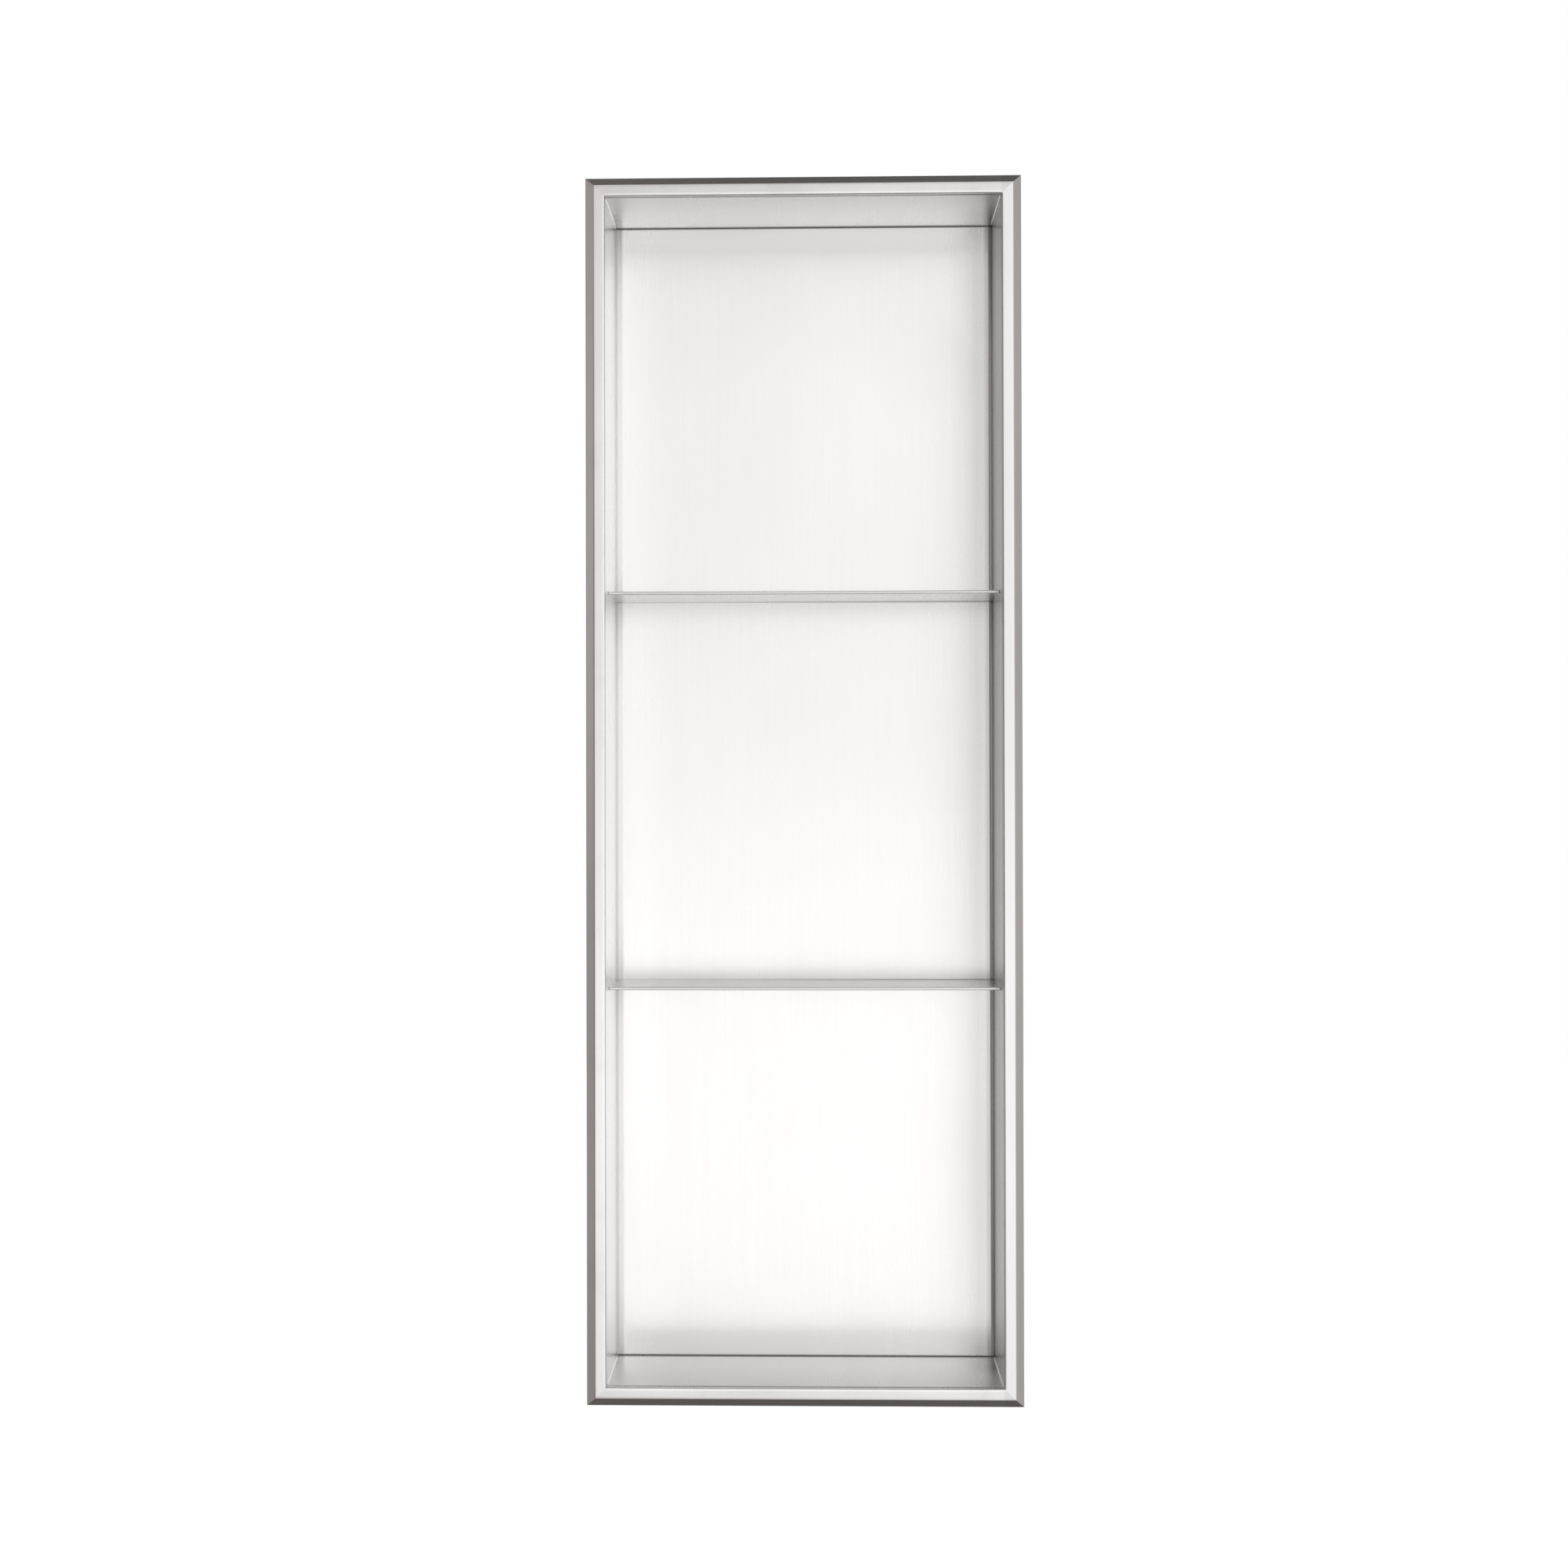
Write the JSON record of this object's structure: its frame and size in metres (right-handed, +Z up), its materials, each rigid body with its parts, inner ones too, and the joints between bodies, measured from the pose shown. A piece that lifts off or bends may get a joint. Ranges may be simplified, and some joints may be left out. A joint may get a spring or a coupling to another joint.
{
  "type": "recessed wall niche with shelves",
  "caption": "Open recessed wall niche in brushed stainless steel: bevelled face frame, shallow box behind it and full-width fixed shelves in equal compartments.",
  "frame": {"origin": "centre of the opening, in the plane of the finished wall", "axes": "+Z up, +X to the right as seen from the room, +Y back into the wall; the open front faces -Y"},
  "size_m": [0.3356, 0.1021, 0.9452],
  "materials": {
    "frame_steel": "brushed, upright grain",
    "box_steel": "brushed inside with upright grain, mill finish outside",
    "shelf_steel": "brushed",
    "polished_weld": "polished weld seam",
    "raw_weld": "raw weld bead with heat tint",
    "gasket_foam": "closed-cell foam"
  },
  "bodies": {
    "root": {"frame_top_rail": "frame_steel", "frame_bottom_rail": "frame_steel", "frame_left_rail": "frame_steel", "frame_right_rail": "frame_steel", "body_wrap": "box_steel", "top_plate": "box_steel", "bottom_plate": "box_steel", "upper_shelf": "shelf_steel", "lower_shelf": "shelf_steel", "corner_seam_top_left": "polished_weld", "corner_seam_top_right": "polished_weld", "corner_seam_bottom_left": "polished_weld", "corner_seam_bottom_right": "polished_weld", "top_plate_weld": "raw_weld", "bottom_plate_weld": "raw_weld", "upper_shelf_tab_welds": "raw_weld", "lower_shelf_tab_welds": "raw_weld", "frame_mitre_welds": "raw_weld", "frame_tack_welds": "raw_weld", "gasket_top": "gasket_foam", "gasket_bottom": "gasket_foam", "gasket_left": "gasket_foam", "gasket_right": "gasket_foam"}
  },
  "joints": []
}
